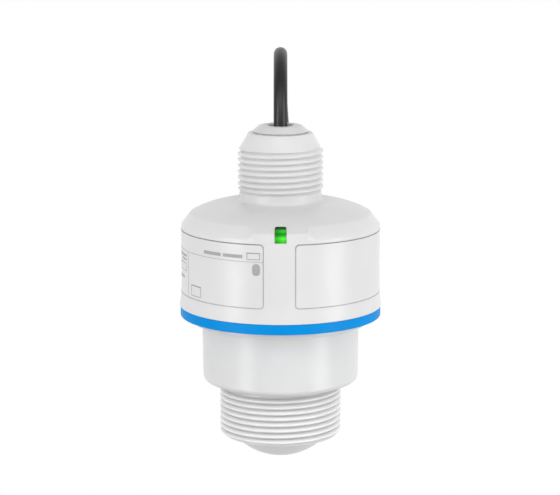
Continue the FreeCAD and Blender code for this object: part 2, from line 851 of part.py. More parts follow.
def board_sockets():
    """The two sockets of the ribbon, on the radar board and on the main board."""
    w = socket_half_width
    lower = block(-w, w, socket_y - socket_depth / 2, socket_y + socket_depth / 2,
                  radar_board_top_z, radar_board_top_z + socket_height)
    upper_z = board_z + socket_above_board_edge
    upper = block(-w, w, board_front_y - socket_depth, board_front_y, upper_z, upper_z + socket_height)
    return Part.makeCompound([lower, upper])


def ribbon_lead():
    """Flat ribbon from the radar board's socket up to the main board's socket."""
    low_z = radar_board_top_z + socket_height
    high_z = board_z + socket_above_board_edge
    y1 = board_front_y - socket_depth / 2
    path, radii = rounded_path([
        (0, socket_y, low_z), (0, socket_y, low_z + ribbon_straight),
        (0, y1, high_z - ribbon_straight), (0, y1, high_z),
    ])
    h = ribbon_thickness / 2
    w = ribbon_half_width
    corners = [V(-w, socket_y - h, low_z), V(w, socket_y - h, low_z),
               V(w, socket_y + h, low_z), V(-w, socket_y + h, low_z)]
    section = Part.makePolygon(corners + [corners[0]])
    return path.makePipeShell([section], True, False)


def coil_outline(grow=0):
    """Section of the coil about its own axis, with round corners, as (radius, width) points."""
    r0 = coil_mid_r - coil_half_depth - grow
    r1 = coil_mid_r + coil_half_depth + grow
    w = coil_half_width + grow
    c = cable_r + grow
    return [
        (r0 + c, -w), (r1 - c, -w), round_corner((r1 - c, -w + c), c, -90, 0), (r1, w - c),
        round_corner((r1 - c, w - c), c, 0, 90), (r0 + c, w),
        round_corner((r0 + c, w - c), c, 90, 180), (r0, -w + c),
        round_corner((r0 + c, -w + c), c, 180, 270),
    ]


def coil_placed(shape):
    """Turns a coil made about Z so that its axis lies along X, at its place behind the body."""
    placed = shape.copy()
    placed.rotate(V(0, 0, 0), V(1, 1, 1), 120)
    placed.translate(V(0, coil_y, coil_z))
    return placed


def cable_coil():
    return coil_placed(turned(coil_outline()))


def coil_ties():
    """Three straps round the turns of the coil."""
    half = math.degrees(tie_width / 2 / coil_mid_r)
    straps = []
    for angle in tie_angles:
        outer = turned(coil_outline(tie_thickness), angle - half, 2 * half)
        inner = turned(coil_outline(), angle - 2 * half, 4 * half)
        straps.append(coil_placed(outer.cut(inner)))
    return Part.makeCompound(straps)


def tail_core(index):
    """One bare-ended core at the far end of the cable."""
    x0, y0 = core_place(index)
    x, y, z = tail_route[-1]
    x1, y1 = x0 * (1 + tail_core_fan), y0 * (1 + tail_core_fan)
    a, b, c = tail_core_runs
    route = [(x + x0, y + y0, z), (x + x0, y + y0, z - a), (x + x1, y + y1, z - a - b),
             (x + x1, y + y1, z - a - b - c)]
    return tube(route, core_r), route[-1]


def tail_ferrules(ends):
    """Crimped sleeves on the ends of the three cores."""
    sleeves = []
    for x, y, z in ends:
        sleeve = disc(core_r + ferrule_wall, z, z + ferrule_length, x, y)
        sleeves.append(sleeve.cut(disc(core_r, z - 1, z + ferrule_length + 1, x, y)))
    return Part.makeCompound(sleeves)


def main():
    os.makedirs("parts", exist_ok=True)
    save("sensor_body", sensor_body())
    save("housing_oring", housing_oring())
    save("accent_ring", accent_ring())
    save("upper_housing", upper_housing())
    save("light_guide", light_guide())
    save("gland_insert", gland_insert())
    save("thrust_washer", thrust_washer())
    save("cable_seal", cable_seal())
    save("cable_inner_end", cable_inner_end())
    save("cable_retainer", cable_retainer())
    for index, name in enumerate(["inner_core_screen", "inner_core_minus", "inner_core_plus"]):
        save(name, inner_core(index))
    save("electronics_carrier", electronics_carrier())
    save("carrier_screws", carrier_screws())
    save("main_board", main_board())
    save("terminal_block", terminal_block())
    save("terminal_screws", terminal_screws())
    save("buffer_capacitors", buffer_capacitors())
    save("power_inductor", power_inductor())
    save("processor_chip", processor_chip())
    save("radio_module", radio_module())
    save("chip_antenna", chip_antenna())
    save("status_led", status_led())
    save("antenna_horn", antenna_horn())
    save("radar_board", radar_board())
    save("radar_chip", radar_chip())
    save("shield_can", shield_can())
    save("board_sockets", board_sockets())
    save("ribbon_lead", ribbon_lead())
    coil = cable_coil()
    save("cable", tube(lead_route, cable_r).cut(coil))
    save("cable_coil", coil)
    save("coil_ties", coil_ties())
    save("cable_tail", tube(tail_route, cable_r).cut(coil))
    ends = []
    for index, name in enumerate(["tail_core_screen", "tail_core_minus", "tail_core_plus"]):
        core, end = tail_core(index)
        save(name, core)
        ends.append(end)
    save("tail_ferrules", tail_ferrules(ends))


main()
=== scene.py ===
import math
import bmesh
import bpy
from mathutils import Matrix, Vector


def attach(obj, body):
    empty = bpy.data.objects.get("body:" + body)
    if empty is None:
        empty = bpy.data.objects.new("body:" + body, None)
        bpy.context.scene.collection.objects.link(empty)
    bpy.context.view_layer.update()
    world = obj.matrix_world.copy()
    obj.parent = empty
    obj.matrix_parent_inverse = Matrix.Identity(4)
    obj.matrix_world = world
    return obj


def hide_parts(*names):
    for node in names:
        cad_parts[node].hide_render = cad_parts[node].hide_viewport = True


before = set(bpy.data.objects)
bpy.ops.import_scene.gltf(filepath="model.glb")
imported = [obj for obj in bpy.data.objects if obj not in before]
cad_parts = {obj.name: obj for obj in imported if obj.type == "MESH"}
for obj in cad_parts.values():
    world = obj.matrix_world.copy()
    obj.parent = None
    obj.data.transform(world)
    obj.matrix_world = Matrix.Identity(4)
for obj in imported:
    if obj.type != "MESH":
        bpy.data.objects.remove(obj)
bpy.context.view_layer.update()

mm = 0.001  # sizes below are millimetres, as in the CAD model
scene = bpy.context.scene

# the product photo: a long lens, looking slightly down on the front
view = {"lens": 133.71, "sensor": 36.0, "place": (-0.0002, -0.79928, 0.2005), "tilt": 79.5}

cameraData = bpy.data.cameras.new("productCamera")
cameraData.lens = view["lens"]
cameraData.sensor_width = view["sensor"]
cameraData.clip_start = 0.05
cameraData.clip_end = 200
camera = bpy.data.objects.new("productCamera", cameraData)
camera.location = view["place"]
camera.rotation_euler = (math.radians(view["tilt"]), 0, 0)
scene.collection.objects.link(camera)
scene.camera = camera
print("camera is set")


# small tools that every piece uses

# value at x of a table of pairs, straight from row to row
def between(table, x):
    for (x0, y0), (x1, y1) in zip(table, table[1:]):
        if x <= x1:
            t = min(max((x - x0) / (x1 - x0), 0), 1)
            return y0 + (y1 - y0) * t
    return table[-1][1]


def smoothStep(t):
    t = min(max(t, 0), 1)
    return t * t * (3 - 2 * t)


def finishPiece(name, bm, sharp=32):
    mesh = bpy.data.meshes.new(name)
    bm.to_mesh(mesh)
    bm.free()
    mesh.polygons.foreach_set("use_smooth", [True] * len(mesh.polygons))
    mesh.set_sharp_from_angle(angle=math.radians(sharp))
    piece = bpy.data.objects.new(name, mesh)
    scene.collection.objects.link(piece)
    return piece


def fromAxis(v):
    return math.hypot(v.co.x, v.co.y)


def vertsIn(geom):
    return [g for g in geom if isinstance(g, bmesh.types.BMVert)]


def everything(bm):
    return bm.verts[:] + bm.edges[:] + bm.faces[:]


# joins points closer than this many metres
def weld(bm, verts, dist=1e-6):
    bmesh.ops.remove_doubles(bm, verts=verts, dist=dist)


def cutThrough(bm, place, normal, dist=1e-7, below=False, above=False):
    bmesh.ops.bisect_plane(bm, geom=everything(bm), dist=dist, plane_co=place, plane_no=normal,
                           clear_inner=below, clear_outer=above)


def roundEdges(bm, edges, size, segments):
    bmesh.ops.bevel(bm, geom=edges, offset=size * mm, offset_type="OFFSET", segments=segments, profile=0.5,
                    affect="EDGES", material=-1)


# a line of (radius, height) points in the xz plane; each round is size, segments and the corners it is for
def softLine(bm, points, rounds):
    verts = [bm.verts.new((r * mm, 0, z * mm)) for r, z in points]
    for pair in zip(verts, verts[1:]):
        bm.edges.new(pair)
    for size, steps, corners in rounds:
        bmesh.ops.bevel(bm, geom=[verts[i] for i in corners], offset=size * mm, offset_type="OFFSET",
                        segments=steps, profile=0.5, affect="VERTICES", material=-1)
    return verts[0], verts[-1]


# the same line as a list of points, with its rounds in it
def linePoints(points, rounds):
    bm = bmesh.new()
    first, last = softLine(bm, points, rounds)
    here, before, found = first, None, []
    while here is not None:
        found.append((here.co.x / mm, here.co.z / mm))
        after = [e.other_vert(here) for e in here.link_edges if e.other_vert(here) is not before]
        before, here = here, after[0] if after else None
    bm.free()
    return found


def spinAll(bm, steps):
    bmesh.ops.spin(bm, geom=bm.verts[:] + bm.edges[:], cent=(0, 0, 0), axis=(0, 0, 1), dvec=(0, 0, 0),
                   angle=2 * math.pi, steps=steps, use_merge=True, use_duplicate=False)
    weld(bm, bm.verts, 1e-7)
    faceOutwards(bm)


def faceOutwards(bm):
    bmesh.ops.recalc_face_normals(bm, faces=bm.faces)
    if bm.calc_volume(signed=True) < 0:
        bmesh.ops.reverse_faces(bm, faces=bm.faces)


def isOpen(edge):
    return len(edge.link_faces) == 1


# the open edge at this height in millimetres, made level
def openLoop(bm, z):
    def atHeight():
        return [e for e in bm.edges if isOpen(e) and all(abs(v.co.z / mm - z) < 0.05 for v in e.verts)]
    ring = list({v for e in atHeight() for v in e.verts})
    for v in ring:
        v.co.z = z * mm
    weld(bm, ring, 0.12 * mm)  # no slivers where the thread is cut
    return atHeight()


def grown(bm, loop):
    made = bmesh.ops.extrude_edge_only(bm, edges=loop)["geom"]
    ring = set(vertsIn(made))
    return ring, [g for g in made if isinstance(g, bmesh.types.BMEdge) and ring.issuperset(g.verts)]


# grows an open edge on through a list of (radius, height)
def carryOn(bm, loop, points):
    for r, z in points:
        ring, loop = grown(bm, loop)
        for v in ring:
            size = fromAxis(v)
            v.co = (v.co.x / size * r * mm, v.co.y / size * r * mm, z * mm)


thread = {
    "pitch": 2.309, "depth": 1.42, "rootFlat": 0.26, "flankAngle": 27.5, "round": 0.22, "rootShare": 0.5,
    "steps": 192,
}


# turns of thread between two limits of the radius, each a table of (height, radius)
def threadTurns(majorR, frontZ, lowest, highest):
    pitch = thread["pitch"]
    rootR = majorR - thread["depth"]
    foot = thread["rootFlat"] / 2
    top = foot + thread["depth"] * math.tan(math.radians(thread["flankAngle"]))
    side = frontZ + pitch / 4
    fromZ, toZ = lowest[0][0], lowest[-1][0]
    start = side + math.floor((fromZ - pitch / 2 - side) / pitch) * pitch
    turns = math.ceil((toZ - start - pitch / 2) / pitch) + 1
    bm = bmesh.new()
    softLine(bm, [(majorR, start - pitch / 2), (majorR, start - top), (rootR, start - foot),
                  (rootR, start + foot), (majorR, start + top), (majorR, start + pitch / 2)],
             [(thread["round"], 2, (1, 4)), (thread["round"] * thread["rootShare"], 2, (2, 3))])
    bmesh.ops.spin(bm, geom=bm.verts[:] + bm.edges[:], cent=(0, 0, 0), axis=(0, 0, 1),
                   dvec=(0, 0, pitch * mm / thread["steps"]), angle=2 * math.pi,
                   steps=thread["steps"], use_merge=False, use_duplicate=False)
    turn = everything(bm)
    for count in range(1, turns):
        made = bmesh.ops.duplicate(bm, geom=turn)["geom"]
        bmesh.ops.translate(bm, verts=vertsIn(made), vec=(0, 0, pitch * mm * count))
    weld(bm, bm.verts)
    for z in sorted({z for z, r in lowest + highest}):
        cutThrough(bm, (0, 0, z * mm), (0, 0, 1), 2e-5, below=z == fromZ, above=z == toZ)
    for v in bm.verts:
        z = v.co.z / mm
        r = fromAxis(v) / mm
        wanted = min(max(r, between(lowest, z)), between(highest, z))
        v.co.x *= wanted / r
        v.co.y *= wanted / r
    return bm


# the cable: straight up out of the gland, over and down behind, then 24 turns and a bare end

cable = {
    "diameter": 5.4, "length": 5000, "exit": (0, 0, 101.2), "centre": (103.1, 34.0), "midRadius": 31.85,
    "firstX": 13.5, "columns": 6, "layers": 4, "startAngle": 193, "step": 10, "points": 859, "turnsBreak": 160,
    "crossing": 40,
}
leadRoute = [
    (0.0, 0.0, 87.0), (0.0, 0.0, 103.2), (0.0, 8.1, 117.23), (0.0, 22.13, 125.3),
    (0.0, 38.33, 125.3), (0.0, 52.36, 117.23), (0.0, 60.46, 103.2),
    (1.5, 62.6, 84.6), (7.2, 63.3, 66.8), (13.0, 63.35, 51.0), (13.5, 63.3, 39.0),
]
tailRoute = [(-13.5, 66.8, 51.9), (-13.5, 60.9, 42.2), (-13.5, 57.6, 31.2), (-13.5, 57.2, 19.5), (-13.5, 57.2, 8.0)]


def turnPlace(turn):
    column, layer = divmod(turn, cable["layers"])
    if column % 2:
        layer = cable["layers"] - 1 - layer  # every other row is wound outwards again
    outward = (cable["layers"] - 1) / 2 - layer
    return cable["midRadius"] + cable["diameter"] * outward, cable["firstX"] - cable["diameter"] * column


def coilPoints():
    turns = cable["columns"] * cable["layers"]
    stretch = math.cos(math.radians(cable["step"] / 2))  # the spline runs inside its control points
    points = []
    for count in range(cable["points"]):
        angle = cable["startAngle"] + cable["step"] * count
        turn, part = divmod(angle - cable["turnsBreak"], 360)
        radius, x = turnPlace(int(turn))
        if turn < turns - 1:
            nextRadius, nextX = turnPlace(int(turn) + 1)
            move = smoothStep((part - 360 + cable["crossing"]) / cable["crossing"])
            radius += (nextRadius - radius) * move
            x += (nextX - x) * move
        a = math.radians(angle)
        points.append((x, cable["centre"][0] + radius / stretch * math.cos(a),
                       cable["centre"][1] + radius / stretch * math.sin(a)))
    return points


def makeCable():
    curve = bpy.data.curves.new("cableLine", "CURVE")
    curve.dimensions = "3D"
    curve.bevel_depth = 1.0  # the points' radius gives the thickness, and so the line's box is right
    curve.bevel_resolution = 7
    curve.use_fill_caps = True
    curve.resolution_u = 3
    line = curve.splines.new("NURBS")
    route = leadRoute + coilPoints() + tailRoute
    line.points.add(len(route) - 1)
    for point, place in zip(line.points, route):
        point.co = (place[0] * mm, place[1] * mm, place[2] * mm, 1)
        point.radius = cable["diameter"] / 2 * mm
    line.order_u = 3
    line.use_endpoint_u = True
    piece = bpy.data.objects.new("sensorCable", curve)
    scene.collection.objects.link(piece)
    return piece


sensorCable = makeCable()
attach(sensorCable, "root")
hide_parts("cable", "cable_coil", "cable_tail")
print("cable is routed and coiled")


# process stub with thread and lens, collar, flange and spigot

bodySizes = {
    "threadR": 23.90, "grooveFront": -5.02, "stubEnd": -21.7, "endChamfer": 1.5, "reliefR": 22.3, "relief": 2.0,
    "lensR": 24.4, "lensRim": 18.9, "lensBack": -13.5, "antennaBore": 19.9, "collarR": 30.7, "draft": 0.3,
    "collarTop": 23.5, "collarBore": 27.4, "collarFloor": 4.0, "flangeR": 34.7,
    "flangeTop": 25.9, "spigotR": 34.0, "spigotBore": 30.6, "deck": 27.0, "spigotTop": 42.9,
    "bossR": 3.0, "bossCircle": 24.6, "bossAngles": (90, 210, 330), "bossSunk": 0.4, "pilotR": 1.3,
    "pilotDepth": 12.0, "lensGroove": 0.25, "lensRise": 0.05, "lensSteps": 20,
    "rounds": [(2.2, 8, (2,)), (0.3, 3, (1, 3)), (0.8, 5, (4,)), (0.18, 2, (5,)), (0.4, 2, (7, 8))],
}


def makeBody():
    s = bodySizes
    end, chamfer = s["stubEnd"], s["endChamfer"]
    envelope = [(end, s["threadR"] - chamfer), (end + chamfer, s["threadR"]), (-s["relief"] - 1, s["threadR"]),
                (-s["relief"], s["reliefR"])]
    bm = threadTurns(s["threadR"], s["grooveFront"], [(end, 0), (-s["relief"], 0)], envelope)
    above = linePoints([
        (s["reliefR"], -s["relief"]), (s["reliefR"], 0), (s["collarR"] - s["draft"], 0),
        (s["collarR"], s["collarTop"]), (s["flangeR"], s["collarTop"]), (s["flangeR"], s["flangeTop"]),
        (s["spigotR"], s["flangeTop"]), (s["spigotR"], s["spigotTop"]), (s["spigotBore"], s["spigotTop"]),
        (s["spigotBore"], s["deck"]), (s["collarBore"], s["deck"]), (s["collarBore"], s["collarFloor"]),
        (s["antennaBore"], s["collarFloor"]), (s["antennaBore"], s["lensBack"]), (0, s["lensBack"]),
    ], s["rounds"])
    carryOn(bm, openLoop(bm, -s["relief"]), above[1:])
    middle = end + math.sqrt(s["lensR"] ** 2 - s["lensRim"] ** 2)
    rimAngle = math.asin(s["lensRim"] / s["lensR"])
    edge = [(s["threadR"] - chamfer - s["lensGroove"], end)]
    lens = [(s["lensRim"] + s["lensGroove"], end), (s["lensRim"], end - s["lensRise"])]
    for count in range(1, s["lensSteps"] + 1):
        a = rimAngle * (1 - count / s["lensSteps"])
        lens.append((s["lensR"] * math.sin(a), middle - s["lensR"] * math.cos(a)))
    carryOn(bm, openLoop(bm, end), edge + lens)
    weld(bm, bm.verts)
    faceOutwards(bm)
    for angle in s["bossAngles"]:
        turned = Matrix.Rotation(math.radians(angle), 4, "Z")
        height = (s["deck"] - s["collarFloor"] + s["bossSunk"]) * mm
        place = turned @ Matrix.Translation((s["bossCircle"] * mm, 0, s["deck"] * mm - height / 2))
        post = bmesh.ops.create_cone(bm, cap_ends=True, segments=32, radius1=s["bossR"] * mm,
                                     radius2=s["bossR"] * mm, depth=height, matrix=place)["verts"]
        tops = [f for f in {f for v in post for f in v.link_faces} if f.normal.z > 0.9]
        bmesh.ops.inset_region(bm, faces=tops, thickness=(s["bossR"] - s["pilotR"]) * mm, depth=0)
        pilot = bmesh.ops.extrude_face_region(bm, geom=tops)["geom"]
        bmesh.ops.delete(bm, geom=tops, context="FACES_ONLY")
        bmesh.ops.translate(bm, verts=vertsIn(pilot), vec=(0, 0, -s["pilotDepth"] * mm))
    return finishPiece("sensorBody", bm)


sensorBody = makeBody()
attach(sensorBody, "root")
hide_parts("sensor_body")
print("sensor body is made:", len(sensorBody.data.polygons), "faces")


# coloured ring between the flange and the housing

ringSizes = {
    "outer": 39.2, "inner": 34.2, "bottom": 25.9, "top": 30.1, "footR": 35.0, "edgeLow": 26.1, "gap": 0.2,
    "lowerRound": 0.4, "upperRound": 0.45, "innerRound": 0.15, "steps": 192,
}


def makeRing():
    s = ringSizes
    bm = bmesh.new()
    middle = (s["bottom"] + s["top"]) / 2
    first, last = softLine(bm, [
        (s["inner"], middle), (s["inner"], s["bottom"]), (s["footR"], s["bottom"]), (s["outer"], s["edgeLow"]),
        (s["outer"], s["top"]), (s["inner"], s["top"]), (s["inner"], middle + s["gap"]),
    ], [(s["lowerRound"], 4, (3,)), (s["upperRound"], 3, (4,)), (s["innerRound"], 2, (1, 5))])
    bm.edges.new((last, first))
    spinAll(bm, s["steps"])
    return finishPiece("accentRing", bm)


accentRing = makeRing()
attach(accentRing, "root")
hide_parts("accent_ring")
print("coloured ring is made")


# upper housing: skirt, shoulder with its raised pad, and threaded neck

housing = {
    "r": 38.7, "skirtR": 39.5, "bottom": 30.1, "flare": 7.6, "chamferLow": 61.9, "edge": 64.4, "chamferR": 35.2,
    "domeTop": 71.2, "domeTopR": 18.5, "bulge": 1.45, "bore": 34.2, "wallBore": 35.2, "wallBoreZ": 46.2,
    "roofCorner": 59.5, "roofMiddleR": 30.5, "roofMiddleZ": 65.2, "roofFlatR": 20.0, "roof": 68.8,
    "padTop": 10.4, "padFoot": 12.6, "notchHalf": 2.22, "notchFloor": 60.98, "joinR": 19.6, "edgeSoft": 0.22,
    "boreStep": 1.5, "waistDrop": 0.52, "waistShare": 0.45,
    "domeRings": (34, 32.5, 31, 29.5, 28, 26.5, 25, 23.5, 22, 20.7),
    "rounds": [(1.5, 3, (7, 8)), (0.25, 3, (5, 6)), (0.8, 2, (1, 2))],
    "steps": [3, 7, 1, 176, 1, 7, 3],  # half the notch, the pad, its slope, the rest, and back
}
neck = {
    "threadR": 16.62, "grooveFront": 75.10, "plainR": 15.9, "footR": 15.85, "plainTop": 75.4, "coneTop": 76.1,
    "runOut": 74.5, "rootDrop": 0.3, "threadTop": 91.8, "endCone": 0.7, "cutTop": 93.0, "shoulderR": 13.75,
    "shoulder": 95.35, "topR": 12.5, "top": 97.7, "footRound": 1.2, "footReach": 0.4, "glandBore": 10.5,
    "glandStep": 87.0, "chamberR": 8.2, "chamberFloor": 79.0, "holeR": 3.3,
    "rounds": [(0.3, 3, (1,)), (0.12, 2, (2,)), (0.25, 2, (3,))],
}


# the dome between neck and edge is an arc: its centre and radius
def domeArc():
    ax, az, bx, bz = housing["domeTopR"], housing["domeTop"], housing["r"], housing["edge"]
    chord = math.hypot(bx - ax, bz - az)
    nx, nz = (az - bz) / chord, (bx - ax) / chord
    radius = (chord ** 2 / 4 + housing["bulge"] ** 2) / (2 * housing["bulge"])
    back = housing["bulge"] - radius
    return (ax + bx) / 2 + back * nx, (az + bz) / 2 + back * nz, radius


def domeZ(r, grow=0):
    cx, cz, radius = domeArc()
    return cz + math.sqrt((radius + grow) ** 2 - (r - cx) ** 2)


# degrees round the part from the front's middle
def fromFront(v):
    return math.degrees(math.atan2(v.co.x, -v.co.y))


def setPlace(v, r, angle, z):
    a = math.radians(angle)
    v.co = (r * math.sin(a) * mm, -r * math.cos(a) * mm, z * mm)


def isOn(v, r, z, slack=0.01):
    return abs(v.co.z / mm - z) < slack and abs(fromAxis(v) / mm - r) < slack


def onRow(bm, r, z):
    return [v for v in bm.verts if isOn(v, r, z, 0.02)]


# heights and radii of the outer wall, up to the chamfer
def wallLine():
    s = housing
    return [(s["bottom"], s["skirtR"]), (s["bottom"] + s["flare"] * s["waistShare"], s["skirtR"] - s["waistDrop"]),
            (s["bottom"] + s["flare"], s["r"])]


def makeShoulder():
    s = housing
    near, clear = 0.01, 0.3  # degrees or millimetres
    crease = domeZ(s["chamferR"])
    middleR, middleZ = (s["r"] + s["chamferR"]) / 2, (s["chamferLow"] + crease) / 2
    line = linePoints([
        (s["roofFlatR"], s["roof"]), (s["roofMiddleR"], s["roofMiddleZ"]), (s["wallBore"], s["roofCorner"]),
        (s["wallBore"], s["wallBoreZ"]), (s["bore"], s["wallBoreZ"] - s["boreStep"]), (s["bore"], s["bottom"]),
        *((r, z) for z, r in wallLine()), (s["r"], s["notchFloor"]),
    ], s["rounds"])
    line += [(s["r"], s["chamferLow"]), (middleR, middleZ), (s["chamferR"], crease)]
    line += [(r, domeZ(r)) for r in (*s["domeRings"], s["joinR"])]
    bm = bmesh.new()
    softLine(bm, line, [])
    bmesh.ops.rotate(bm, verts=bm.verts, cent=(0, 0, 0), matrix=Matrix.Rotation(-math.pi / 2, 3, "Z"))
    notchAngle = math.degrees(math.asin(s["notchHalf"] / s["r"]))
    topAngle = math.degrees(math.asin(s["padTop"] / s["r"]))
    footAngle = math.degrees(math.asin(s["padFoot"] / s["r"]))
    creaseAngle = math.degrees(math.asin(s["padTop"] / s["chamferR"]))
    stops = [notchAngle, topAngle, footAngle, 360 - footAngle, 360 - topAngle, 360 - notchAngle, 360]
    last, here = bm.verts[:] + bm.edges[:], 0
    for stop, count in zip(stops, s["steps"]):
        made = bmesh.ops.spin(bm, geom=last, cent=(0, 0, 0), axis=(0, 0, 1), dvec=(0, 0, 0),
                              angle=math.radians(stop - here), steps=count, use_merge=False, use_duplicate=False)
        last = [g for g in made["geom_last"] if not isinstance(g, bmesh.types.BMFace)]
        here = stop
    weld(bm, bm.verts)
    middleRow, highRow = onRow(bm, middleR, middleZ), onRow(bm, s["chamferR"], crease)
    for v in middleRow:
        a = fromFront(v)
        if abs(a) < topAngle + near:
            setPlace(v, s["r"], a, s["edge"])
        elif abs(a) < footAngle + near:
            side = math.copysign(1, a)
            foot = Vector((side * s["padFoot"], -math.sqrt(s["r"] ** 2 - s["padFoot"] ** 2), s["chamferLow"]))
            peak = Vector((side * s["padTop"], -math.sqrt(s["chamferR"] ** 2 - s["padTop"] ** 2), crease))
            v.co = (foot + peak) / 2 * mm
    for v in highRow:
        a = fromFront(v)
        if topAngle - near < abs(a) < footAngle + near:
            setPlace(v, s["chamferR"], math.copysign(creaseAngle, a), crease)
        elif abs(a) < notchAngle + near:
            setPlace(v, s["chamferR"], a * s["r"] / s["chamferR"], crease)
    weld(bm, bm.verts)

    # the notch for the light guide, on the front's middle
    def atNotch(v):
        return abs(v.co.x) < 3 * mm and v.co.y < 0

    inNotch = [f for f in bm.faces
               if all(abs(fromFront(v)) < notchAngle * s["r"] / s["chamferR"] + near
                      and v.co.y < 0 and v.co.z > (s["notchFloor"] - near) * mm
                      and fromAxis(v) > (s["chamferR"] - near) * mm for v in f.verts)
               and all(abs(v.co.x) < (s["notchHalf"] + 2 * near) * mm for v in f.verts)
               and sum(fromAxis(v) for v in f.verts) / len(f.verts) > (s["chamferR"] + clear) * mm]
    bmesh.ops.delete(bm, geom=inNotch, context="FACES")
    rim = [e for e in bm.edges if isOpen(e) and all(atNotch(v) for v in e.verts)]
    floor = [e for e in rim if all(abs(v.co.z / mm - s["notchFloor"]) < near for v in e.verts)]
    for z in (s["notchFloor"], crease):
        ring, floor = grown(bm, floor)
        for v in ring:
            a = fromFront(v)
            if z == s["notchFloor"]:
                a *= s["r"] / s["chamferR"]
            setPlace(v, s["chamferR"], a, z)
    weld(bm, [v for v in bm.verts if atNotch(v)], 2e-5)
    reach = 0.1  # a little over the notch on every side
    holes = [e for e in bm.edges if isOpen(e) and all(atNotch(v) for v in e.verts)
             and (s["notchFloor"] - reach) * mm < e.verts[0].co.z < (crease + reach) * mm
             and fromAxis(e.verts[0]) > (s["chamferR"] - reach) * mm]
    bmesh.ops.holes_fill(bm, edges=holes, sides=12)

    # soften the edges of the chamfer and the pad
    rows = {"low": (s["r"], s["chamferLow"]), "edge": (s["r"], s["edge"]), "high": (s["chamferR"], crease)}
    firstAngle = {"low": footAngle, "edge": notchAngle, "high": creaseAngle}
    soft = []
    for e in bm.edges:
        angles = [abs(fromFront(v)) for v in e.verts]
        ends = [{row for row, place in rows.items() if isOn(v, *place)} for v in e.verts]
        shared = ends[0] & ends[1]
        padSide = all(ends) and not shared and "edge" in ends[0] | ends[1]
        if any(min(angles) > firstAngle[row] - near for row in shared):
            soft.append(e)
        elif padSide and min(angles) > topAngle - near and max(angles) > topAngle + clear:
            soft.append(e)
    print("edges to soften", len(soft))
    roundEdges(bm, soft, s["edgeSoft"], 2)
    return bm


def makeHousing():
    s, n = housing, neck
    bm = makeShoulder()
    upper = [(n["runOut"], n["footR"]), (n["plainTop"], n["footR"]), (n["coneTop"], n["threadR"]),
             (n["threadTop"] - n["endCone"], n["threadR"]), (n["threadTop"], n["plainR"])]
    slope = (n["plainR"] - n["shoulderR"]) / (n["shoulder"] - n["threadTop"])
    upper.append((n["cutTop"], n["plainR"] - slope * (n["cutTop"] - n["threadTop"])))
    rootR = n["threadR"] - thread["depth"]
    lower = [(n["runOut"], n["footR"]), (n["plainTop"] - n["rootDrop"], rootR), (n["cutTop"], rootR)]
    turns = threadTurns(n["threadR"], n["grooveFront"], lower, upper)
    footR = s["domeTopR"] + n["footReach"]
    foot = linePoints([(n["footR"], n["runOut"] + 1), (n["footR"], s["domeTop"]), (footR, domeZ(footR))],
                      [(n["footRound"], 8, (1,))])
    carryOn(turns, openLoop(turns, n["runOut"]), foot[1:])
    inner = linePoints([
        (upper[-1][1], n["cutTop"]), (n["shoulderR"], n["shoulder"]), (n["topR"], n["top"]),
        (n["glandBore"], n["top"]), (n["glandBore"], n["glandStep"]), (n["chamberR"], n["glandStep"]),
        (n["chamberR"], n["chamberFloor"]), (n["holeR"], n["chamberFloor"]), (n["holeR"], s["roof"]),
        (s["roofFlatR"] - 1, s["roof"]),
    ], n["rounds"])
    carryOn(turns, openLoop(turns, n["cutTop"]), inner[1:])
    neckMesh = bpy.data.meshes.new("neckTurns")
    turns.to_mesh(neckMesh)
    turns.free()
    bm.from_mesh(neckMesh)
    bpy.data.meshes.remove(neckMesh)
    parting = (s["roof"] + 1) * mm  # the neck's outer foot is above this, its inner end below
    bmesh.ops.bridge_loops(bm, edges=[e for e in bm.edges if isOpen(e) and e.verts[0].co.z > parting])
    bmesh.ops.bridge_loops(bm, edges=[e for e in bm.edges if isOpen(e) and e.verts[0].co.z < parting])
    faceOutwards(bm)
    print("open edges on the housing:", sum(1 for e in bm.edges if len(e.link_faces) != 2))
    return finishPiece("upperHousing", bm)


upperHousing = makeHousing()
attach(upperHousing, "root")
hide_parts("upper_housing")
print("housing is made:", len(upperHousing.data.polygons), "faces")


# green light guide: window over the shoulder's front edge, with its stem inside

guide = {
    "half": 2.15, "floor": 61.05, "back": 35.1, "front": 38.85, "proud": 0.15, "edgeRound": 0.3, "sideRound": 0.45,
    "slices": 8, "flatShare": 0.8, "stemInset": 0.25, "stemFront": 6.7, "stemHeight": 2.0, "stemRound": 0.2,
}


